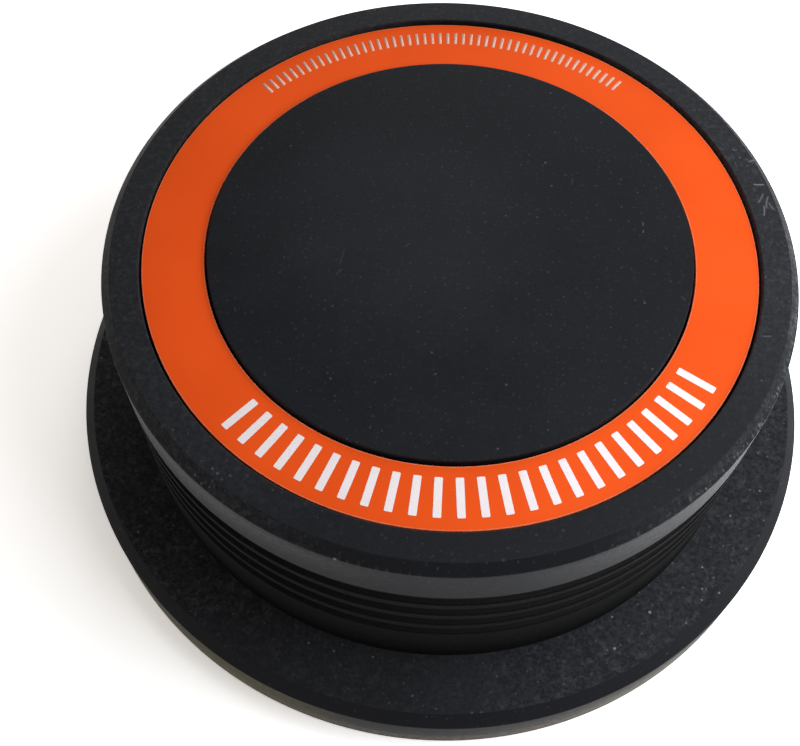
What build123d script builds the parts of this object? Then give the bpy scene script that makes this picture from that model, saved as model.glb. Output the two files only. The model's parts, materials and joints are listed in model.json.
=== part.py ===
"""Record weight: a rubber jacket moulded round a metal core, with a printed ring set into its top.

The weight stands on a turntable's record, with the spindle in the bore under it.
The origin is the middle of the underside and +Z is up. All sizes are in millimetres.
"""

import os

from build123d import *

# Overall form
overall_height = 30.0
body_diameter = 66.2
rim_bevel = 0.95

# Base flange
flange_diameter = 80.0
flange_thickness = 6.5
flange_bevel = 1.15

# Side of the body, from the top down: plain rim band, grooves with ribs between them, plain lower band
rim_band = 6.3
groove_width = 1.75
groove_depth = 0.5
rib_width = 1.1
lower_band = 6.8

# Top face: rim, then a channel with the ring lying on its floor, then the centre disc
rim_width = 3.6
channel_width = 6.4
ring_recess = 0.45
ring_thickness = 0.8
ring_clearance = 0.25

# Rubber round the core
jacket_wall = 3.1
jacket_floor = 3.0
jacket_top = 2.75

# Core and the bore for the spindle
core_bevel = 0.6
spindle_bore_diameter = 7.4
bore_end_wall = 4.0
mouth_clearance = 0.8

# Places that follow from the sizes above
channel_outer_diameter = body_diameter - 2 * rim_width
centre_disc_diameter = channel_outer_diameter - 2 * channel_width
channel_floor = overall_height - ring_recess - ring_thickness
core_diameter = body_diameter - 2 * jacket_wall
core_top = channel_floor - jacket_top
bore_end = core_top - bore_end_wall
mouth_diameter = spindle_bore_diameter + 2 * mouth_clearance
grooves_top = overall_height - rim_band
grooves_bottom = flange_thickness + lower_band
groove_pitch = groove_width + rib_width
groove_count = int((grooves_top - grooves_bottom + rib_width) / groove_pitch)

os.makedirs("parts", exist_ok=True)

# Outer form of the core, which is also the space that it fills in the rubber
with BuildPart() as core_blank:
    with BuildSketch(Plane.XY.offset(jacket_floor)):
        Circle(core_diameter / 2)
    extrude(amount=core_top - jacket_floor)
    chamfer(core_blank.edges().filter_by(GeomType.CIRCLE), length=core_bevel)

# Metal core: a turned slug with bevelled edges and a blind bore from below
with BuildPart() as weight_core:
    add(core_blank.part)
    with BuildSketch(Plane.XY.offset(jacket_floor)):
        Circle(spindle_bore_diameter / 2)
    extrude(amount=bore_end - jacket_floor, mode=Mode.SUBTRACT)

weight_core.part.label = "weight_core"
export_step(weight_core.part, "parts/weight_core.step")

# Rubber jacket: flange, ribbed side and bevelled rim in one moulding
with BuildPart() as rubber_jacket:
    with BuildSketch(Plane.XY):
        Circle(flange_diameter / 2)
    extrude(amount=flange_thickness)
    chamfer(rubber_jacket.edges().sort_by(Axis.Z)[-1], length=flange_bevel)

    with BuildSketch(Plane.XY.offset(flange_thickness)):
        Circle(body_diameter / 2)
    extrude(amount=overall_height - flange_thickness)
    chamfer(rubber_jacket.edges().sort_by(Axis.Z)[-1], length=rim_bevel)

    # Grooves round the side, which leave the ribs standing
    for index in range(groove_count):
        with BuildSketch(Plane.XY.offset(grooves_top - index * groove_pitch)):
            Circle(body_diameter / 2)
            Circle(body_diameter / 2 - groove_depth, mode=Mode.SUBTRACT)
        extrude(amount=-groove_width, mode=Mode.SUBTRACT)

    # Channel for the ring
    with BuildSketch(Plane.XY.offset(overall_height)):
        Circle(channel_outer_diameter / 2)
        Circle(centre_disc_diameter / 2, mode=Mode.SUBTRACT)
    extrude(amount=channel_floor - overall_height, mode=Mode.SUBTRACT)

    # Space for the core, and the spindle's way in through the floor
    add(core_blank.part, mode=Mode.SUBTRACT)
    with BuildSketch(Plane.XY):
        Circle(mouth_diameter / 2)
    extrude(amount=jacket_floor, mode=Mode.SUBTRACT)

rubber_jacket.part.label = "rubber_jacket"
export_step(rubber_jacket.part, "parts/rubber_jacket.step")

# Printed ring: a flat plate that lies on the channel's floor
with BuildPart() as printed_ring:
    with BuildSketch(Plane.XY.offset(channel_floor)):
        Circle(channel_outer_diameter / 2 - ring_clearance)
        Circle(centre_disc_diameter / 2 + ring_clearance, mode=Mode.SUBTRACT)
    extrude(amount=ring_thickness)

printed_ring.part.label = "printed_ring"
export_step(printed_ring.part, "parts/printed_ring.step")
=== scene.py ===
import json
import math
from types import SimpleNamespace

import bpy
from mathutils import Euler, Matrix, Vector


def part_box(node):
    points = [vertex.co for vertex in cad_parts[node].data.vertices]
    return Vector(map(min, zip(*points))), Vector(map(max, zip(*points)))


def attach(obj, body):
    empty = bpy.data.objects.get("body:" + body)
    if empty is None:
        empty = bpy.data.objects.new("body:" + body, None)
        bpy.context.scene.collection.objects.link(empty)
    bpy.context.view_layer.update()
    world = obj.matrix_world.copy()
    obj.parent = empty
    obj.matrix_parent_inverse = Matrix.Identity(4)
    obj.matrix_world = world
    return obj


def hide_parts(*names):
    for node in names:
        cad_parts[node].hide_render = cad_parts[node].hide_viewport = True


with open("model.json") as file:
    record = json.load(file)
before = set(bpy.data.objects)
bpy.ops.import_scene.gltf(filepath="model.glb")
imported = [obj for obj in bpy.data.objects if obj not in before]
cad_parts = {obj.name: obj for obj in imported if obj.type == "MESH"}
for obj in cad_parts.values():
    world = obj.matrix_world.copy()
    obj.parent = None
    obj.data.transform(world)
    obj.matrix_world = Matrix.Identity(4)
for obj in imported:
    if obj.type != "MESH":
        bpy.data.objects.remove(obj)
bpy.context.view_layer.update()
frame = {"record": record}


# Weight core
# A slug of brass, turned from bar, that gives the weight its mass. The rubber is moulded round it.
# Only its blind bore shows, through the hole in the underside where the turntable's spindle goes in.
mm = 0.001
core_low, core_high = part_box("weight_core")
core_bevel = 0.6 * mm
spindle_bore = next(mount for mount in frame["record"]["mounts"] if mount["name"] == "spindle_bore")
bore_radius = spindle_bore["dims"]["r_mm"] * mm
bore_end = core_low.z + spindle_bore["dims"]["length_mm"] * mm
turned_edge = 0.15 * mm
steps_round = 288
corner_steps = 4
clean_brass = (0.60, 0.42, 0.17, 1)
brown_tarnish = (0.30, 0.19, 0.08, 1)
tool_mark_depth = 0.02 * mm


def add_node(tree, kind, inputs=None, **settings):
    """Adds a node with its settings. An input given a socket is linked, and any other value is set."""
    made = tree.nodes.new(kind)
    for name, value in settings.items():
        setattr(made, name, value)
    for key, value in (inputs or {}).items():
        if isinstance(value, bpy.types.NodeSocket):
            tree.links.new(value, made.inputs[key])
        else:
            made.inputs[key].default_value = value
    return made


def new_tree(name, seed, counts, lengths=()):
    """New geometry nodes, and their named inputs: a seed, counts, lengths or angles, and a finish."""
    tree = bpy.data.node_groups.new(name, "GeometryNodeTree")
    tree.is_modifier = True
    inputs = [(seed, "NodeSocketGeometry")]
    inputs += [(count, "NodeSocketInt") for count in counts]
    inputs += [(length, "NodeSocketFloat") for length in lengths]
    inputs += [("Finish", "NodeSocketMaterial")]
    for socket_name, kind in inputs:
        tree.interface.new_socket(socket_name, in_out="INPUT", socket_type=kind)
    tree.interface.new_socket("Piece", in_out="OUTPUT", socket_type="NodeSocketGeometry")
    return tree, tree.nodes.new("NodeGroupInput").outputs


def fillet(tree, curve, steps, radius):
    """The curve with its corners rounded off in straight steps."""
    made = add_node(tree, "GeometryNodeFilletCurve", {
        "Curve": curve,
        "Count": steps,
        "Radius": radius,
        "Limit Radius": True,
    }, mode="POLY")
    return made.outputs["Curve"]


def end_tree(tree, geometry, finish):
    """The end of the geometry nodes: real geometry in its finish, given out as the piece."""
    real = add_node(tree, "GeometryNodeRealizeInstances", {"Geometry": geometry})
    finished = add_node(tree, "GeometryNodeSetMaterial", {
        "Geometry": real.outputs["Geometry"],
        "Material": finish,
    })
    add_node(tree, "NodeGroupOutput", {"Piece": finished.outputs["Geometry"]})


def turning_tree():
    """Geometry nodes that round a section's corners and turn it about the Z axis into a closed skin."""
    tree, given = new_tree("turned_section", "Section", ("Steps round", "Corner steps"))
    path_radius = 10 * mm
    seam_gap = 0.002 * mm
    line = add_node(tree, "GeometryNodeMeshToCurve", {"Mesh": given["Section"]})
    corner = add_node(tree, "GeometryNodeInputNamedAttribute", {"Name": "corner_radius"}, data_type="FLOAT")
    rounded = fillet(tree, line.outputs["Curve"], given["Corner steps"], corner.outputs["Attribute"])
    # Along a level circle, a section's X points outwards and its Y points down
    across = add_node(tree, "GeometryNodeTransform", {
        "Geometry": rounded,
        "Translation": (-path_radius, 0, 0),
        "Scale": (1, -1, 1),
    })
    circle = add_node(tree, "GeometryNodeCurvePrimitiveCircle", {
        "Resolution": given["Steps round"],
        "Radius": path_radius,
    })
    level = add_node(tree, "GeometryNodeSetCurveNormal", {"Curve": circle.outputs["Curve"]}, mode="Z_UP")
    skin = add_node(tree, "GeometryNodeCurveToMesh", {
        "Curve": level.outputs["Curve"],
        "Profile Curve": across.outputs["Geometry"],
    })
    closed = add_node(tree, "GeometryNodeMergeByDistance", {
        "Geometry": skin.outputs["Mesh"],
        "Distance": seam_gap,
    })
    smooth = add_node(tree, "GeometryNodeSetShadeSmooth", {"Geometry": closed.outputs["Geometry"]})
    end_tree(tree, smooth.outputs["Geometry"], given["Finish"])
    return tree


def grown(name, seed_mesh, tree, values):
    """An object whose mesh is what the geometry nodes make of the seed mesh with these values."""
    piece = bpy.data.objects.new(name, seed_mesh)
    modifier = piece.modifiers.new(tree.name, "NODES")
    modifier.node_group = tree
    for socket in tree.interface.items_tree:
        if socket.in_out == "INPUT" and socket.name in values:
            modifier[socket.identifier] = values[socket.name]
    bpy.context.scene.collection.objects.link(piece)
    piece.modifiers.new("flat faces stay flat", "WEIGHTED_NORMAL")
    mesh = bpy.data.meshes.new_from_object(piece.evaluated_get(bpy.context.evaluated_depsgraph_get()))
    mesh.name = name
    # The seed's empty slot can come before the one that the nodes fill
    if mesh.materials[0] is None:
        mesh.materials.pop(index=0)
    piece.modifiers.clear()
    piece.data = mesh
    return piece


def turned(name, section, closed, finish):
    """A piece turned from a section: (radius, height, corner radius) for each point along the outline."""
    outline = bpy.data.meshes.new(name + "_section")
    count = len(section)
    edges = [(i, (i + 1) % count) for i in range(count if closed else count - 1)]
    outline.from_pydata([(radius, height, 0) for radius, height, corner in section], edges, [])
    corners = outline.attributes.new("corner_radius", "FLOAT", "POINT")
    corners.data.foreach_set("value", [corner for radius, height, corner in section])
    return grown(name, outline, turned_section, {
        "Steps round": steps_round,
        "Corner steps": corner_steps,
        "Finish": finish,
    })


def bare_material(name):
    """A material with nothing in its node tree."""
    material = bpy.data.materials.new(name)
    material.use_nodes = True
    material.node_tree.nodes.clear()
    return material, material.node_tree


def new_material(name):
    """A material with only a shader and the output in its node tree."""
    material, tree = bare_material(name)
    shader = tree.nodes.new("ShaderNodeBsdfPrincipled")
    add_node(tree, "ShaderNodeOutputMaterial", {"Surface": shader.outputs["BSDF"]})
    return material, tree, shader


def in_millimetres(tree):
    """Where a point of the piece lies, in millimetres: its place, x, y, height and radius from the axis."""
    coordinates = tree.nodes.new("ShaderNodeTexCoord").outputs["Object"]
    scaled = add_node(tree, "ShaderNodeMapping", {"Vector": coordinates, "Scale": (1 / mm, 1 / mm, 1 / mm)})
    place = scaled.outputs["Vector"]
    flat = add_node(tree, "ShaderNodeVectorMath", {0: place, 1: (1, 1, 0)}, operation="MULTIPLY")
    radius = add_node(tree, "ShaderNodeVectorMath", {0: flat.outputs["Vector"]}, operation="LENGTH")
    along = add_node(tree, "ShaderNodeSeparateXYZ", {"Vector": place}).outputs
    return SimpleNamespace(
        place=place,
        x=along["X"],
        y=along["Y"],
        height=along["Z"],
        radius=radius.outputs["Value"],
    )


def noise(tree, place, scale, detail=2.0, roughness=0.5):
    """Soft noise from 0 to 1. The scale is in features per millimetre, for all axes or for each."""
    if isinstance(scale, tuple):
        stretched = add_node(tree, "ShaderNodeVectorMath", {0: place, 1: scale}, operation="MULTIPLY")
        place = stretched.outputs["Vector"]
        scale = 1.0
    made = add_node(tree, "ShaderNodeTexNoise", {
        "Vector": place,
        "Scale": scale,
        "Detail": detail,
        "Roughness": roughness,
    })
    return made.outputs["Fac"]


def ramp(tree, value, start, end, low=0.0, high=1.0):
    """A smooth step: low where the value is at start, high where it is at end."""
    made = add_node(tree, "ShaderNodeMapRange", {
        "Value": value,
        "From Min": start,
        "From Max": end,
        "To Min": low,
        "To Max": high,
    }, interpolation_type="SMOOTHSTEP")
    return made.outputs["Result"]


def reckon(tree, operation, first, second=0.0, third=0.0):
    """One step of arithmetic on sockets or numbers."""
    made = add_node(tree, "ShaderNodeMath", {0: first, 1: second, 2: third}, operation=operation)
    return made.outputs["Value"]


# The two inputs and the output of a Mix node, which keeps separate sockets for each kind of value
mix_sockets = {"FLOAT": (2, 3, 0), "VECTOR": (4, 5, 1), "RGBA": (6, 7, 2)}


def blend(tree, kind, share, first, second):
    """The first value where the share is 0, the second where it is 1."""
    first_socket, second_socket, result = mix_sockets[kind]
    inputs = {0: share, first_socket: first, second_socket: second}
    return add_node(tree, "ShaderNodeMix", inputs, data_type=kind).outputs[result]


def roughen(tree, shader, height, strength, depth):
    """A bump on the shader's surface from a height pattern, of this depth in metres."""
    bump = add_node(tree, "ShaderNodeBump", {"Height": height, "Strength": strength, "Distance": depth})
    tree.links.new(bump.outputs["Normal"], shader.inputs["Normal"])


def turned_brass():
    """Brass as it leaves the lathe, with fine tool rings and a little brown tarnish."""
    material, tree, shader = new_material("turned_brass")
    at = in_millimetres(tree)
    stains = noise(tree, at.place, scale=0.35, detail=5.0, roughness=0.6)
    tarnish = ramp(tree, stains, start=0.42, end=0.75)
    colour = blend(tree, "RGBA", tarnish, clean_brass, brown_tarnish)
    tree.links.new(colour, shader.inputs["Base Color"])
    rings = noise(tree, reckon(tree, "ADD", at.radius, at.height), scale=9.0, detail=3.0)
    roughness = ramp(tree, rings, start=0.3, end=0.7, low=0.24, high=0.38)
    tree.links.new(roughness, shader.inputs["Roughness"])
    roughen(tree, shader, rings, strength=0.25, depth=tool_mark_depth)
    shader.inputs["Metallic"].default_value = 1.0
    return material


turned_section = turning_tree()
weight_core = turned("brass_core", [
    (0, core_high.z, 0),
    (core_high.x - core_bevel, core_high.z, turned_edge),
    (core_high.x, core_high.z - core_bevel, turned_edge),
    (core_high.x, core_low.z + core_bevel, turned_edge),
    (core_high.x - core_bevel, core_low.z, turned_edge),
    (bore_radius, core_low.z, turned_edge),
    (bore_radius, bore_end, turned_edge),
    (0, bore_end, 0),
], closed=False, finish=turned_brass())
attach(weight_core, "root")
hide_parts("weight_core")


# Rubber jacket
# One moulding of black rubber: flange, ribbed side, bevelled rim, and a channel in the top for the ring.
# It closes round the core and leaves a hole in the floor. Years of use have left it dull, dusty and linty.
jacket_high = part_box("rubber_jacket")[1]
ring_low, ring_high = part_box("printed_ring")
flange_radius = jacket_high.x
overall_height = jacket_high.z
body_radius = 33.1 * mm
rim_bevel = 0.95 * mm
bevel_foot = overall_height - rim_bevel
rim_band = 6.3 * mm
rim_foot = overall_height - rim_band
flange_thickness = 6.5 * mm
flange_bevel = 1.15 * mm
flange_shoulder = flange_thickness - flange_bevel
groove_width = 1.75 * mm
groove_depth = 0.5 * mm
rib_width = 1.1 * mm
groove_count = 4
ring_clearance = 0.25 * mm
channel_width = 6.4 * mm
channel_radius = ring_high.x + ring_clearance
disc_radius = channel_radius - channel_width
mouth_margin = 0.8 * mm
mouth_radius = bore_radius + mouth_margin
moulded_edge = 0.2 * mm
crisp_edge = 0.12 * mm
foot_edge = 0.06 * mm


def jacket_section():
    """The jacket's outline from the middle of the top, round the outside, to the top of the core's space."""
    points = [
        (0, overall_height, 0),
        (disc_radius, overall_height, crisp_edge),
        (disc_radius, ring_low.z, crisp_edge),
        (channel_radius, ring_low.z, crisp_edge),
        (channel_radius, overall_height, crisp_edge),
        (body_radius - rim_bevel, overall_height, moulded_edge),
        (body_radius, bevel_foot, moulded_edge),
    ]
    groove_top = rim_foot
    groove_floor = body_radius - groove_depth
    for groove in range(groove_count):
        groove_bottom = groove_top - groove_width
        points += [
            (body_radius, groove_top, moulded_edge),
            (groove_floor, groove_top, crisp_edge),
            (groove_floor, groove_bottom, crisp_edge),
            (body_radius, groove_bottom, moulded_edge),
        ]
        groove_top = groove_bottom - rib_width
    points += [
        (body_radius, flange_thickness, crisp_edge),
        (flange_radius - flange_bevel, flange_thickness, moulded_edge),
        (flange_radius, flange_shoulder, moulded_edge),
        (flange_radius, 0, foot_edge),
        (mouth_radius, 0, foot_edge),
        (mouth_radius, core_low.z, 0),
        (core_high.x - core_bevel, core_low.z, 0),
        (core_high.x, core_low.z + core_bevel, 0),
        (core_high.x, core_high.z - core_bevel, 0),
        (core_high.x - core_bevel, core_high.z, 0),
        (0, core_high.z, 0),
    ]
    return points


# The rubber's finish: its colours and the roughness of its faces. Its patterns are laid out in millimetres.
rubber_dark = (0.0064, 0.0074, 0.0102, 1)
rubber_light = (0.0084, 0.0094, 0.0127, 1)
waist_black = (0.0030, 0.0031, 0.0034, 1)
# Painted light in the grooves, which lifts the shade that falls in them, and painted shade in the channel
# beside the ring
groove_painted_light = (0.016, 0.016, 0.017, 1)
channel_painted_shade = (0.0015, 0.0015, 0.0015, 1)
face_roughness = 0.555
roughness_spread = 0.05
side_roughness = 0.60
foot_roughness = 0.70
waist_roughness = 0.9
channel_roughness = 1.0
rubber_gloss = 0.129
rubber_grain_depth = 0.03 * mm


def chain(tree, operation, *terms):
    """All the terms taken together in order, two at a time, by one operation."""
    result = terms[0]
    for term in terms[1:]:
        result = reckon(tree, operation, result, term)
    return result


def product(tree, *factors):
    """All the factors multiplied together."""
    return chain(tree, "MULTIPLY", *factors)


def total(tree, *terms):
    """All the terms added together."""
    return chain(tree, "ADD", *terms)


def largest(tree, *values):
    """The largest of the values."""
    return chain(tree, "MAXIMUM", *values)


def step(tree, value, edge, before, after):
    """A smooth step at an edge in metres: 0 at one offset from it, 1 at the other, both in millimetres."""
    return ramp(tree, value, start=edge / mm + before, end=edge / mm + after)


def jacket_faces(tree, at):
    """A share for each face of the moulding, which is 1 on that face and 0 elsewhere."""
    normal = tree.nodes.new("ShaderNodeNewGeometry").outputs["Normal"]
    facing = add_node(tree, "ShaderNodeSeparateXYZ", {"Vector": normal}).outputs["Z"]
    level = ramp(tree, facing, start=0.8, end=0.97)
    sloping = product(tree, ramp(tree, facing, start=0.45, end=0.6), ramp(tree, facing, start=0.92, end=0.8))
    upright = ramp(tree, reckon(tree, "ABSOLUTE", facing), start=0.5, end=0.2)
    top = step(tree, at.height, overall_height, before=-0.2, after=0.0)
    return SimpleNamespace(
        upright=upright,
        top=top,
        disc=product(tree, level, top, step(tree, at.radius, disc_radius, before=0.3, after=0.0)),
        channel=product(
            tree,
            step(tree, at.height, overall_height, before=-0.05, after=-0.3),
            step(tree, at.height, ring_low.z, before=-0.4, after=-0.2),
            step(tree, at.radius, disc_radius, before=-0.1, after=-0.05),
            step(tree, at.radius, channel_radius, before=0.1, after=0.05),
        ),
        rim=product(tree, level, top, step(tree, at.radius, channel_radius, before=-0.3, after=0.0)),
        rim_edge=product(tree, sloping, step(tree, at.height, rim_foot, before=0.0, after=1.0)),
        rim_side=product(tree, upright, step(tree, at.height, rim_foot, before=-0.1, after=0.1)),
        waist=product(
            tree,
            step(tree, at.height, flange_thickness, before=0.05, after=0.25),
            step(tree, at.height, rim_foot, before=0.1, after=0.0),
        ),
        flange_top=product(tree, level, step(tree, at.height, flange_thickness, before=0.5, after=0.1)),
        flange_side=product(tree, upright, step(tree, at.height, flange_shoulder, before=0.1, after=-0.1)),
    )


def unroll(tree, at):
    """The upright faces laid out flat, by the way round the body and the height."""
    angle = reckon(tree, "ARCTAN2", at.y, at.x)
    around = reckon(tree, "MULTIPLY", angle, body_radius / mm)
    return add_node(tree, "ShaderNodeCombineXYZ", {"X": around, "Y": at.height}).outputs["Vector"]


def bare_rubber(tree, at, on, mottle):
    """Black rubber a little uneven in tone, blacker in the waist, with painted light making the grooves
    greyer and painted shade making the channel blacker.
    """
    colour = blend(tree, "RGBA", ramp(tree, mottle, start=0.3, end=0.7), rubber_dark, rubber_light)
    # Painted light greys the grooves, and painted shade blackens the channel
    grooves = step(tree, at.radius, body_radius, before=-0.05, after=-0.25)
    waist_colour = blend(tree, "RGBA", grooves, waist_black, groove_painted_light)
    colour = blend(tree, "RGBA", on.waist, colour, waist_colour)
    return blend(tree, "RGBA", on.channel, colour, channel_painted_shade)


# Rubbing and painted reflection: the blooms that handling has left on the two sides, as shares of their
# colours, made lighter away from the front and to the right as painted reflection, with a painted highlight
# at the rim's right end
rim_bloom_and_reflection = (0.088, 0.088, 0.091, 1)
rim_painted_highlight = (0.190, 0.191, 0.200, 1)
flange_bloom_and_reflection = (0.200, 0.182, 0.158, 1)
warm_floor_reflection = (0.190, 0.172, 0.075, 1)
rim_side_rub_and_reflection = 0.49
rim_front_x = 2.0
rub_foot_rise = 0.5
rub_line_drop = 2.0
rim_highlight_share = 0.42
flange_side_rub = 0.28
foot_rub = 0.40
# The flange side's rise to the front's right is painted reflection of the white table, and the yellower tint
# to its left is a painted reflection of the warm floor
right_reflection = 0.34
corner_reflection = 0.30
warm_reflection_share = 0.36
nick_reach = 0.55 * mm
nick_share = 0.35


def powdery(tree, unrolled):
    """How a bloom lies: in faint streaks round the side, and in powder."""
    streaking = noise(tree, unrolled, scale=(0.12, 2.6, 1.0), detail=4.0, roughness=0.65)
    streaks = ramp(tree, streaking, start=0.3, end=0.7, low=0.85, high=1.15)
    grains = noise(tree, unrolled, scale=1.6, detail=4.0, roughness=0.75)
    powder = ramp(tree, grains, start=0.33, end=0.67, low=0.55, high=1.45)
    return product(tree, streaks, powder)


def rim_rub_and_reflection(tree, colour, at, on, powder):
    """A grey bloom on the rim's side, least at the front, most on the right and just under the bevel. It is
    partly real handling, and its rise away from the front and to the right is painted reflection. A painted
    highlight lies along the right end.
    """
    # Painted reflection: the share grows away from the front and to the right, where the side shows the
    # bright table at a grazing angle
    off_front = reckon(tree, "ABSOLUTE", reckon(tree, "SUBTRACT", at.x, rim_front_x))
    rub_and_reflection_spread = total(
        tree,
        ramp(tree, off_front, start=3.0, end=20.0, low=0.15, high=1.35),
        ramp(tree, at.x, start=14.0, end=28.0, high=0.7),
    )
    rub_foot = rim_foot / mm + rub_foot_rise
    rub_line = overall_height / mm - rub_line_drop
    at_foot = ramp(tree, at.x, start=-10.0, end=16.0, low=0.25, high=0.7)
    upwards = product(
        tree,
        ramp(tree, at.height, start=rub_foot, end=rub_line, low=at_foot, high=1.3),
        ramp(tree, at.height, start=rub_line + 0.1, end=rub_line + 1.1, low=1.0, high=0.4),
    )
    share = product(tree, on.rim_side, rim_side_rub_and_reflection, upwards, rub_and_reflection_spread, powder)
    colour = blend(tree, "RGBA", share, colour, rim_bloom_and_reflection)
    # A painted highlight along the right end of the rim's side
    highlight_place = product(tree, ramp(tree, at.x, start=20.0, end=27.0), ramp(tree, at.y, start=-9.0, end=-17.0))
    return blend(tree, "RGBA", product(tree, on.rim_side, highlight_place, rim_highlight_share), colour, rim_painted_highlight)


def flange_rub_and_reflection(tree, colour, at, on, powder):
    """A browner bloom at the flange's foot, made lighter towards the front's right as painted reflection of
    the white table, and a yellower painted reflection of the warm floor to its left.
    """
    # Painted reflection: towards the front's right the bloom stands in for the white table reflected at a
    # grazing angle
    reflection_to_right = total(
        tree,
        ramp(tree, at.x, start=0.0, end=17.5, high=right_reflection),
        ramp(tree, at.x, start=15.0, end=27.0, high=corner_reflection),
    )
    reflection_to_right = product(tree, reflection_to_right, ramp(tree, at.y, start=-14.0, end=-26.0))
    share = total(
        tree,
        ramp(tree, at.height, start=4.7, end=1.1, high=flange_side_rub),
        ramp(tree, at.height, start=2.7, end=1.0, high=foot_rub),
        product(tree, reflection_to_right, ramp(tree, at.height, start=5.0, end=3.0, low=0.55, high=1.0)),
    )
    colour = blend(tree, "RGBA", product(tree, on.flange_side, share, powder), colour, flange_bloom_and_reflection)
    # A yellower painted reflection of the warm floor, to the front's left
    warm_reflection_place = product(
        tree,
        ramp(tree, at.x, start=-3.0, end=-17.0, high=warm_reflection_share),
        ramp(tree, at.y, start=-12.0, end=-28.0),
    )
    return blend(tree, "RGBA", product(tree, on.flange_side, warm_reflection_place, powder), colour, warm_floor_reflection)


def near_ring(tree, at, ring_radius, ring_height, reach):
    """1 at a circle round the axis, and 0 further from it than the reach, all in metres."""
    across = reckon(tree, "SUBTRACT", at.radius, ring_radius / mm)
    up = reckon(tree, "SUBTRACT", at.height, ring_height / mm)
    squares = reckon(tree, "MULTIPLY_ADD", across, across, reckon(tree, "MULTIPLY", up, up))
    return ramp(tree, reckon(tree, "SQRT", squares), start=reach / mm, end=0.0)


def nicked(tree, colour, at, unrolled):
    """Short pale nicks along the foot of the rim's bevel, on some stretches of it."""
    scratches = noise(tree, unrolled, scale=(2.2, 0.2, 1.0), detail=3.0, roughness=0.7)
    nicks = ramp(tree, scratches, start=0.52, end=0.68)
    stretches = ramp(tree, noise(tree, at.place, scale=0.13), start=0.45, end=0.62)
    along_edge = near_ring(tree, at, body_radius, bevel_foot, nick_reach)
    return blend(tree, "RGBA", product(tree, nicks, along_edge, stretches, nick_share), colour, rim_bloom_and_reflection)


# Film: the fine dust that dulls the faces, as shares of the dust's colour. The front of the rim is wiped.
dust_colour = (0.213, 0.225, 0.243, 1)
# A painted highlight over the middle of the disc, in the dust's colour
disc_highlight_middle = (-5.0, 1.0, overall_height / mm)
disc_highlight_reach = 17.0
disc_highlight_full = 6.0
disc_highlight_share = 0.022
disc_film = 0.003
rim_film = 0.042
rim_film_right = 0.3 * rim_film
wiped_film = 0.008
wiped_heading = (0.34, -0.94, 0)
bevel_film = 0.038
bevel_film_and_reflection_right = 2.2 * bevel_film
bevel_front_x = 4.0
flange_film = 0.043
even_clouding = 1.1
rim_evenness = 0.5
front_evenness = 0.6


def spot(tree, at, middle, reach, full, share):
    """A round spot that fades from its share, as far as it is full, to nothing at its reach."""
    away = add_node(tree, "ShaderNodeVectorMath", {0: at.place, 1: middle}, operation="DISTANCE")
    return ramp(tree, away.outputs["Value"], start=reach, end=full, high=share)


def highlighted_disc(tree, colour, at, on):
    """A painted highlight: a faint pale spot over the middle of the disc."""
    highlight_spot = spot(tree, at, disc_highlight_middle, disc_highlight_reach, disc_highlight_full, disc_highlight_share)
    return blend(tree, "RGBA", product(tree, on.disc, highlight_spot), colour, dust_colour)


def filmed(tree, colour, at, on, skin):
    """A clouded film of dust on the level faces and the rim's bevel, evener on the rim and in front. At the
    bevel's right end it is thicker, partly as painted reflection.
    """
    unwiped = total(tree, rim_film, ramp(tree, at.x, start=14.0, end=30.0, high=rim_film_right))
    unwiped = product(tree, unwiped, ramp(tree, at.y, start=18.0, end=30.0, low=1.0, high=0.72))
    forward = add_node(tree, "ShaderNodeVectorMath", {0: at.place, 1: wiped_heading}, operation="DOT_PRODUCT")
    wiped = ramp(tree, forward.outputs["Value"], start=12.5, end=29.5)
    off_front = reckon(tree, "ABSOLUTE", reckon(tree, "SUBTRACT", at.x, bevel_front_x))
    # Dust on the bevel away from the front; at its right end it is thickened, where it is partly painted
    # reflection
    edge_film_and_reflection = total(
        tree,
        ramp(tree, off_front, start=7.0, end=22.0, high=bevel_film),
        ramp(tree, at.x, start=30.0, end=34.0, high=bevel_film_and_reflection_right),
    )
    film = total(
        tree,
        product(tree, on.disc, disc_film),
        product(tree, on.rim, blend(tree, "FLOAT", wiped, unwiped, wiped_film)),
        product(tree, on.flange_top, flange_film),
        product(tree, on.rim_edge, edge_film_and_reflection),
    )
    wisps = noise(tree, skin, scale=2.2, detail=2.0, roughness=0.7)
    clumps = noise(tree, skin, scale=1.3, detail=3.0, roughness=0.75)
    clouds = total(
        tree,
        ramp(tree, wisps, start=0.35, end=0.65, high=1.6),
        ramp(tree, clumps, start=0.5, end=0.70, high=2.8),
    )
    to_front = product(tree, ramp(tree, at.y, start=-28.0, end=-34.0), ramp(tree, at.x, start=14.0, end=4.0))
    even = total(
        tree,
        product(tree, on.rim, rim_evenness),
        product(tree, on.flange_top, to_front, front_evenness),
    )
    clouding = blend(tree, "FLOAT", even, clouds, even_clouding)
    return blend(tree, "RGBA", product(tree, film, clouding), colour, dust_colour)


# Loose dust, from fine grains to crumbs: cell, size and share of the cells, then its strength all over and
# how much is added where dust settles
loose_dust = (
    (0.55, 0.18, 0.45, 0.05, 0.0),
    (1.1, 0.16, 0.6, 0.05, 0.35),
    (3.2, 0.17, 0.5, 0.1, 0.9),
)
settled_all_over = 0.25
settled_on_rim = 0.2
settled_on_flange = 0.75
ragged_reach = 1.0 * mm
ragged_share = 0.6
smallest_speck = 0.3
firm_speck = 0.3
faintest_speck = 0.15


# Heaps of crumbs on the rim: (x, y), reach and strength. A heap is full over a share of its reach.
heap_full = 0.5
crumb_heaps = (
    ((-18.9, -26.1), 2.4, 0.40),
    ((28.3, 13.3), 2.6, 0.35),
)


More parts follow.
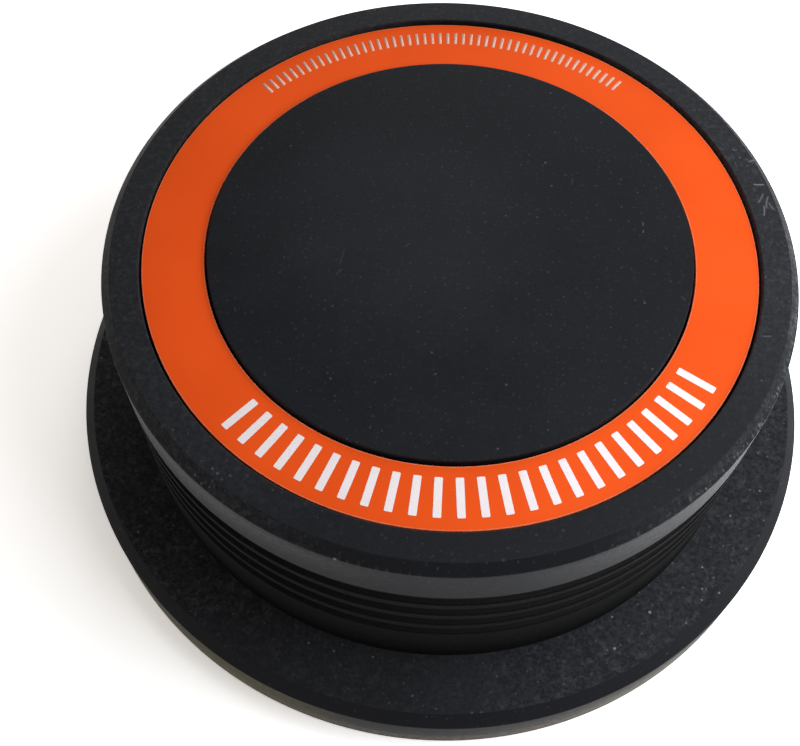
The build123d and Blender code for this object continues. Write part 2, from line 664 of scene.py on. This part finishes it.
# Crumbs that lie alone, one at the foot of the rim's bevel and the rest on the flange:
# (x, y), size and strength. A crumb is full over a share of its size.
crumb_full = 0.4
bevel_crumbs = (
    ((-7.6, -32.3), 0.26, 1.0),
)
flange_crumbs = (
    ((19.2, -31.0), 0.19, 1.0),
    ((22.8, -27.0), 0.21, 0.9),
    ((28.2, -24.1), 0.15, 0.7),
    ((29.9, -24.4), 0.16, 0.8),
    ((19.0, -27.8), 0.16, 0.6),
    ((26.4, -27.8), 0.16, 0.5),
    ((-30.2, -22.7), 0.18, 0.45),
    ((-11.1, -32.9), 0.16, 0.45),
    ((-8.5, -33.5), 0.16, 0.4),
)


def specks(tree, skin, cell, size, share):
    """Dots of dust, one in a share of the cells of a flat pattern, each of its own size and paleness."""
    cells = add_node(tree, "ShaderNodeTexVoronoi", {
        "Vector": skin,
        "Scale": 1 / cell,
    }, voronoi_dimensions="2D")
    own = add_node(tree, "ShaderNodeSeparateColor", {"Color": cells.outputs["Color"]}).outputs
    reach = ramp(tree, own["Red"], start=0.0, end=1.0, low=smallest_speck * size / cell, high=size / cell)
    dot = ramp(tree, cells.outputs["Distance"], start=reach, end=product(tree, reach, firm_speck))
    there = reckon(tree, "LESS_THAN", own["Green"], share)
    paleness = ramp(tree, own["Blue"], start=0.0, end=1.0, low=faintest_speck, high=1.0)
    return product(tree, dot, there, paleness)


def dusted(tree, colour, at, on, skin, unrolled):
    """Loose dust, thickest on the flange and to the right, and a ragged line on the rim's right edge."""
    patching = noise(tree, at.place, scale=0.13, detail=5.0, roughness=0.65)
    on_rim = product(tree, on.rim, settled_on_rim)
    on_flange = product(tree, on.flange_top, settled_on_flange)
    settled = product(
        tree,
        total(tree, settled_all_over, on_rim, on_flange),
        ramp(tree, at.x, start=-35.0, end=35.0, low=0.45, high=1.0),
        ramp(tree, patching, start=0.35, end=0.65, low=0.5, high=1.2),
    )
    dust = 0.0
    for cell, size, share, strength, added in loose_dust:
        paleness = total(tree, strength, product(tree, settled, added))
        dust = largest(tree, dust, product(tree, specks(tree, skin, cell, size, share), paleness))
    right_edge = product(
        tree,
        near_ring(tree, at, body_radius, bevel_foot, ragged_reach),
        ramp(tree, at.x, start=12.0, end=24.0, high=ragged_share),
    )
    ragged = specks(tree, unrolled, cell=0.4, size=0.24, share=0.6)
    dust = largest(tree, dust, product(tree, right_edge, ragged))
    for (x, y), reach, strength in crumb_heaps:
        heap = spot(tree, at, (x, y, overall_height / mm), reach, heap_full * reach, strength)
        dust = largest(tree, dust, product(tree, heap, specks(tree, skin, cell=0.5, size=0.2, share=0.55)))
    for crumbs, level in ((bevel_crumbs, bevel_foot), (flange_crumbs, flange_thickness)):
        for (x, y), size, strength in crumbs:
            crumb = spot(tree, at, (x, y, level / mm), size, crumb_full * size, strength)
            dust = largest(tree, dust, crumb)
    return blend(tree, "RGBA", dust, colour, dust_colour)


# Hairs of lint on the top, most of them in a tuft on the rim: (x, y), angle, length, bow and strength
hair_width = 0.26
top_hairs = (
    ((29.9, 9.4), 4, 1.2, 0.1, 0.70),
    ((30.0, 7.7), 64, 1.5, 0.15, 0.40),
    ((30.5, 7.3), 80, 1.8, -0.15, 0.45),
    ((30.2, 6.2), 86, 1.5, 0.1, 0.50),
    ((30.9, 6.8), 118, 1.2, -0.2, 0.40),
    ((29.4, 12.4), 25, 0.8, 0.2, 0.55),
    ((18.4, 3.6), 88, 0.5, 0.1, 0.25),
    ((18.4, 2.7), 80, 0.4, 0.1, 0.25),
    ((29.3, -8.2), 4, 0.9, 0.1, 0.25),
    ((-10.0, -2.6), 82, 2.2, 0.05, 0.06),
    ((-10.2, -4.4), 58, 1.0, -0.3, 0.08),
    ((-4.0, -0.8), 50, 0.7, 0.5, 0.10),
    ((11.6, 8.3), 80, 0.8, 0.1, 0.08),
    ((21.9, -4.7), -50, 0.7, 0.2, 0.10),
)


def hair(tree, at, middle, angle, length, bow):
    """One hair of lint on a level face, bowed along its length. Its sizes are in millimetres."""
    away = add_node(tree, "ShaderNodeVectorMath", {0: at.place, 1: middle}, operation="SUBTRACT")
    laid = add_node(tree, "ShaderNodeVectorRotate", {
        "Vector": away.outputs["Vector"],
        "Angle": math.radians(-angle),
    }, rotation_type="Z_AXIS")
    along = add_node(tree, "ShaderNodeSeparateXYZ", {"Vector": laid.outputs["Vector"]}).outputs
    square = reckon(tree, "MULTIPLY", along["X"], along["X"])
    off_line = reckon(tree, "MULTIPLY_ADD", square, -bow, along["Y"])
    line = ramp(tree, reckon(tree, "ABSOLUTE", off_line), start=hair_width / 2, end=0.0)
    ends = ramp(tree, reckon(tree, "ABSOLUTE", along["X"]), start=length / 2, end=length / 3)
    return reckon(tree, "MULTIPLY", line, ends)


def linty(tree, colour, at, on):
    """The hairs of lint, all of them on the top."""
    lint = 0.0
    for (x, y), angle, length, bow, strength in top_hairs:
        laid = hair(tree, at, (x, y, overall_height / mm), angle, length, bow)
        lint = largest(tree, lint, product(tree, laid, strength))
    return blend(tree, "RGBA", product(tree, lint, on.top), colour, dust_colour)


def dusty_rubber():
    """Matt black rubber, rubbed grey on its sides with painted reflection towards their ends, dull in the
    waist with painted light in its grooves and painted shade in the channel, with a painted highlight on the
    disc, dusty and linty on its level faces.
    """
    material, tree, shader = new_material("dusty_rubber")
    at = in_millimetres(tree)
    on = jacket_faces(tree, at)
    unrolled = unroll(tree, at)
    # Dust is laid out on the face itself where that is level, and on the unrolled side where it is upright
    skin = blend(tree, "VECTOR", reckon(tree, "GREATER_THAN", on.upright, 0.5), at.place, unrolled)
    mottle = noise(tree, at.place, scale=0.16, detail=4.0, roughness=0.6)
    powder = powdery(tree, unrolled)
    colour = bare_rubber(tree, at, on, mottle)
    colour = highlighted_disc(tree, colour, at, on)
    colour = rim_rub_and_reflection(tree, colour, at, on, powder)
    colour = flange_rub_and_reflection(tree, colour, at, on, powder)
    colour = nicked(tree, colour, at, unrolled)
    colour = filmed(tree, colour, at, on, skin)
    colour = dusted(tree, colour, at, on, skin, unrolled)
    colour = linty(tree, colour, at, on)
    tree.links.new(colour, shader.inputs["Base Color"])

    smoothest = face_roughness - roughness_spread
    roughest = face_roughness + roughness_spread
    roughness = ramp(tree, mottle, start=0.25, end=0.75, low=smoothest, high=roughest)
    for face, own_roughness in (
        (on.rim_side, side_roughness),
        (on.flange_side, foot_roughness),
        (on.waist, waist_roughness),
        (on.channel, channel_roughness),
    ):
        roughness = blend(tree, "FLOAT", face, roughness, own_roughness)
    tree.links.new(roughness, shader.inputs["Roughness"])
    grain = noise(tree, at.place, scale=5.0, detail=3.0, roughness=0.6)
    roughen(tree, shader, grain, strength=0.25, depth=rubber_grain_depth)
    shader.inputs["Specular IOR Level"].default_value = rubber_gloss
    return material


jacket = turned("rubber_body", jacket_section(), closed=False, finish=dusty_rubber())
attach(jacket, "root")
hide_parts("rubber_jacket")


# Printed ring
# A flat ring punched from thin sheet and printed orange, which lies loose on the floor of the channel.
# It is paler along both its edges, and a narrow black gap is left on each side of it.
ring_outer = ring_high.x
ring_inner = disc_radius + ring_clearance
punched_edge = 0.06 * mm
pale_edge_width = 0.14 * mm
orange_deep = (0.815, 0.0875, 0.0112, 1)
orange_bright = (0.878, 0.0970, 0.0132, 1)
orange_soiled = (0.50, 0.045, 0.010, 1)
pale_edge_colour = (0.86, 0.36, 0.22, 1)
sheet_gloss = 0.03
sheet_grain_depth = 0.02 * mm


def orange_sheet():
    """Orange ink under a satin varnish, paler along its inner and outer edges."""
    material, tree, shader = new_material("orange_sheet")
    at = in_millimetres(tree)
    tone = ramp(tree, noise(tree, at.place, scale=0.09, detail=3.0), start=0.3, end=0.7)
    colour = blend(tree, "RGBA", tone, orange_deep, orange_bright)
    soiling = noise(tree, at.place, scale=0.7, detail=6.0, roughness=0.7)
    dirt = ramp(tree, soiling, start=0.62, end=0.85, high=0.25)
    colour = blend(tree, "RGBA", dirt, colour, orange_soiled)
    inner = ramp(tree, at.radius, (ring_inner + pale_edge_width) / mm, (ring_inner + pale_edge_width / 2) / mm)
    outer = ramp(tree, at.radius, (ring_outer - pale_edge_width) / mm, (ring_outer - pale_edge_width / 2) / mm)
    fraying = ramp(tree, noise(tree, at.place, scale=1.2), start=0.25, end=0.6, low=0.15, high=0.45)
    pale_edges = product(tree, largest(tree, inner, outer), fraying)
    colour = blend(tree, "RGBA", pale_edges, colour, pale_edge_colour)
    tree.links.new(colour, shader.inputs["Base Color"])
    handling = noise(tree, at.place, scale=0.4, detail=5.0, roughness=0.65)
    roughness = ramp(tree, handling, start=0.3, end=0.7, low=0.38, high=0.48)
    tree.links.new(roughness, shader.inputs["Roughness"])
    grain = noise(tree, at.place, scale=3.0, detail=3.0)
    roughen(tree, shader, grain, strength=0.1, depth=sheet_grain_depth)
    shader.inputs["Specular IOR Level"].default_value = sheet_gloss
    return material


ring = turned("orange_ring", [
    (ring_inner, ring_high.z, punched_edge),
    (ring_outer, ring_high.z, punched_edge),
    (ring_outer, ring_low.z, punched_edge),
    (ring_inner, ring_low.z, punched_edge),
], closed=True, finish=orange_sheet())
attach(ring, "root")
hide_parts("printed_ring")


# Marks printed on the ring
# White ink screened over the orange: a row of bold bars along the front and a row of fine ones at the back,
# as on the edge of a platter that is watched under a lamp to set its speed.
ink_thickness = 0.03 * mm
ink_sunk = 0.01 * mm
ink_corner = 0.1 * mm
ink_corner_steps = 2
ink_gloss = 0.3
thick_white = (0.88, 0.83, 0.86, 1)
thick_white_worn = (0.86, 0.66, 0.62, 1)
thin_white = (0.84, 0.50, 0.39, 1)
thin_white_worn = (0.80, 0.38, 0.27, 1)


def marks_tree():
    """Geometry nodes that set a row of round-cornered bars along an arc about the Z axis."""
    tree, given = new_tree("row_of_marks", "Seed", ("Marks", "Corner steps"), (
        "Arc radius", "Middle angle", "Angle step", "Height",
        "Bar width", "Bar length", "Corner", "Thickness",
    ))
    seam_gap = 0.001 * mm
    index = tree.nodes.new("GeometryNodeInputIndex").outputs["Index"]
    last = reckon(tree, "SUBTRACT", given["Marks"], 1.0)
    from_middle = reckon(tree, "MULTIPLY_ADD", last, -0.5, index)
    angle = reckon(tree, "MULTIPLY_ADD", from_middle, given["Angle step"], given["Middle angle"])
    foot = add_node(tree, "ShaderNodeCombineXYZ", {
        "X": reckon(tree, "MULTIPLY", reckon(tree, "COSINE", angle), given["Arc radius"]),
        "Y": reckon(tree, "MULTIPLY", reckon(tree, "SINE", angle), given["Arc radius"]),
        "Z": given["Height"],
    })
    points = add_node(tree, "GeometryNodePoints", {
        "Count": given["Marks"],
        "Position": foot.outputs["Vector"],
    })
    turn = add_node(tree, "FunctionNodeAxisAngleToRotation", {"Axis": (0, 0, 1), "Angle": angle})
    outline = add_node(tree, "GeometryNodeCurvePrimitiveQuadrilateral", {
        "Width": given["Bar length"],
        "Height": given["Bar width"],
    })
    rounded = fillet(tree, outline.outputs["Curve"], given["Corner steps"], given["Corner"])
    under = add_node(tree, "GeometryNodeFillCurve", {"Curve": rounded}, mode="NGONS")
    upper = add_node(tree, "GeometryNodeExtrudeMesh", {
        "Mesh": under.outputs["Mesh"],
        "Offset Scale": given["Thickness"],
        "Individual": False,
    })
    lower = add_node(tree, "GeometryNodeFlipFaces", {"Mesh": under.outputs["Mesh"]})
    both = tree.nodes.new("GeometryNodeJoinGeometry")
    tree.links.new(upper.outputs["Mesh"], both.inputs["Geometry"])
    tree.links.new(lower.outputs["Mesh"], both.inputs["Geometry"])
    bar = add_node(tree, "GeometryNodeMergeByDistance", {
        "Geometry": both.outputs["Geometry"],
        "Distance": seam_gap,
    })
    row = add_node(tree, "GeometryNodeInstanceOnPoints", {
        "Points": points.outputs["Points"],
        "Instance": bar.outputs["Geometry"],
        "Rotation": turn.outputs["Rotation"],
    })
    end_tree(tree, row.outputs["Instances"], given["Finish"])
    return tree


def white_ink(name, full, worn):
    """Screened off-white ink, a little thin and uneven, so that the orange warms it."""
    material, tree, shader = new_material(name)
    at = in_millimetres(tree)
    wear = noise(tree, at.place, scale=1.5, detail=4.0, roughness=0.6)
    colour = blend(tree, "RGBA", ramp(tree, wear, start=0.35, end=0.8, high=0.35), full, worn)
    tree.links.new(colour, shader.inputs["Base Color"])
    roughness = ramp(tree, noise(tree, at.place, scale=4.0), start=0.3, end=0.7, low=0.45, high=0.6)
    tree.links.new(roughness, shader.inputs["Roughness"])
    shader.inputs["Specular IOR Level"].default_value = ink_gloss
    return material


row_of_marks = marks_tree()
thick_ink = white_ink("thick_ink", thick_white, thick_white_worn)
thin_ink = white_ink("thin_ink", thin_white, thin_white_worn)
for name, ink, count, arc, middle, span, width, length in (
    ("bold_marks", thick_ink, 25, 26.25 * mm, 279.5, 101, 0.72 * mm, 3.7 * mm),
    ("fine_marks", thin_ink, 49, 27.2 * mm, 95.5, 84, 0.34 * mm, 1.6 * mm),
):
    marks = grown(name, bpy.data.meshes.new(name + "_seed"), row_of_marks, {
        "Marks": count,
        "Corner steps": ink_corner_steps,
        "Arc radius": arc,
        "Middle angle": math.radians(middle),
        "Angle step": math.radians(span / (count - 1)),
        "Height": ring_high.z - ink_sunk,
        "Bar width": width,
        "Bar length": length,
        "Corner": min(ink_corner, width / 3),
        "Thickness": ink_thickness,
        "Finish": ink,
    })
    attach(marks, "root")


# Table
# A plain white board, wide enough to fill the picture. It is paper-matt and keeps the weight's soft shadow.
table_half = 1.5
table_corners = ((-1, -1), (1, -1), (1, 1), (-1, 1))
paper_shade = (0.84, 0.835, 0.83, 1)
paper_white = (0.85, 0.845, 0.84, 1)
bright_paper = (1.75, 1.77, 1.80, 1)
lift_colour = (1.0, 0.995, 0.985, 1)
board_lift = 0.258
table_mesh = bpy.data.meshes.new("table")
table_mesh.from_pydata([(x * table_half, y * table_half, 0) for x, y in table_corners], [], [(0, 1, 2, 3)])
table = bpy.data.objects.new("table", table_mesh)
bpy.context.scene.collection.objects.link(table)


def white_board():
    """Matt white board. To the eye and in reflections it is lifted to the white of a bright table."""
    material, tree = bare_material("white_board")
    at = in_millimetres(tree)
    tone = ramp(tree, noise(tree, at.place, scale=0.02), start=0.3, end=0.7)
    paper = blend(tree, "RGBA", tone, paper_shade, paper_white)
    ray = tree.nodes.new("ShaderNodeLightPath").outputs
    seen = largest(tree, ray["Is Camera Ray"], ray["Is Glossy Ray"], ray["Is Transmission Ray"])
    matt = add_node(tree, "ShaderNodeBsdfDiffuse", {"Color": blend(tree, "RGBA", seen, paper, bright_paper)})
    lift = add_node(tree, "ShaderNodeEmission", {
        "Color": lift_colour,
        "Strength": product(tree, seen, board_lift),
    })
    board = add_node(tree, "ShaderNodeAddShader", {0: matt.outputs["BSDF"], 1: lift.outputs["Emission"]})
    add_node(tree, "ShaderNodeOutputMaterial", {"Surface": board.outputs["Shader"]})
    return material


table_mesh.materials.append(white_board())


# Light
# A soft lamp stands close by on the right, and a larger one low down behind, further off.
# The pale room fills in from all round.
lamp_aim = Vector((0.0, 0.0, 0.02))
room_colour = (1.0, 0.92, 0.84, 1)
room_level = 0.328


def soft_lamp(name, bearing, elevation, distance, size, power, colour):
    """A round lamp that faces the weight from a bearing and an elevation in degrees."""
    turn = math.radians(bearing)
    rise = math.tan(math.radians(elevation))
    heading = Vector((math.cos(turn), math.sin(turn), rise)).normalized()
    lamp_data = bpy.data.lights.new(name, "AREA")
    lamp_data.shape = "DISK"
    lamp_data.size = size
    lamp_data.energy = power
    lamp_data.color = colour
    lamp = bpy.data.objects.new(name, lamp_data)
    lamp.location = lamp_aim + distance * heading
    lamp.rotation_mode = "QUATERNION"
    lamp.rotation_quaternion = heading.to_track_quat("Z", "Y")
    bpy.context.scene.collection.objects.link(lamp)


soft_lamp(
    "key_lamp", bearing=-12, elevation=47, distance=0.114,
    size=0.12, power=0.134, colour=(0.914, 0.957, 1.0),
)
soft_lamp(
    "back_lamp", bearing=86, elevation=16.5, distance=0.3,
    size=0.25, power=0.324, colour=(0.98, 0.99, 1.0),
)
world = bpy.data.worlds.new("room")
world.use_nodes = True
room = world.node_tree.nodes["Background"].inputs
room["Color"].default_value = room_colour
room["Strength"].default_value = room_level
bpy.context.scene.world = world
bpy.context.scene.view_settings.view_transform = "Standard"


# Camera
# It looks steeply down on the weight from in front, close by, and is turned a few degrees to the left.
camera_place = Vector((-0.285, -64.085, 116.728)) * mm
camera_tilt = math.radians(29.6675)
camera_roll = math.radians(-0.3978)
camera_turn = math.radians(4.5406)
camera_data = bpy.data.cameras.new("camera")
camera_data.sensor_width = 36.0
camera_data.lens = 50.593
camera_data.clip_start = 0.005
camera_data.clip_end = 10.0
camera = bpy.data.objects.new("camera", camera_data)
camera.matrix_world = Matrix.LocRotScale(camera_place, Euler((camera_tilt, camera_roll, camera_turn)), None)
bpy.context.scene.collection.objects.link(camera)
bpy.context.scene.camera = camera
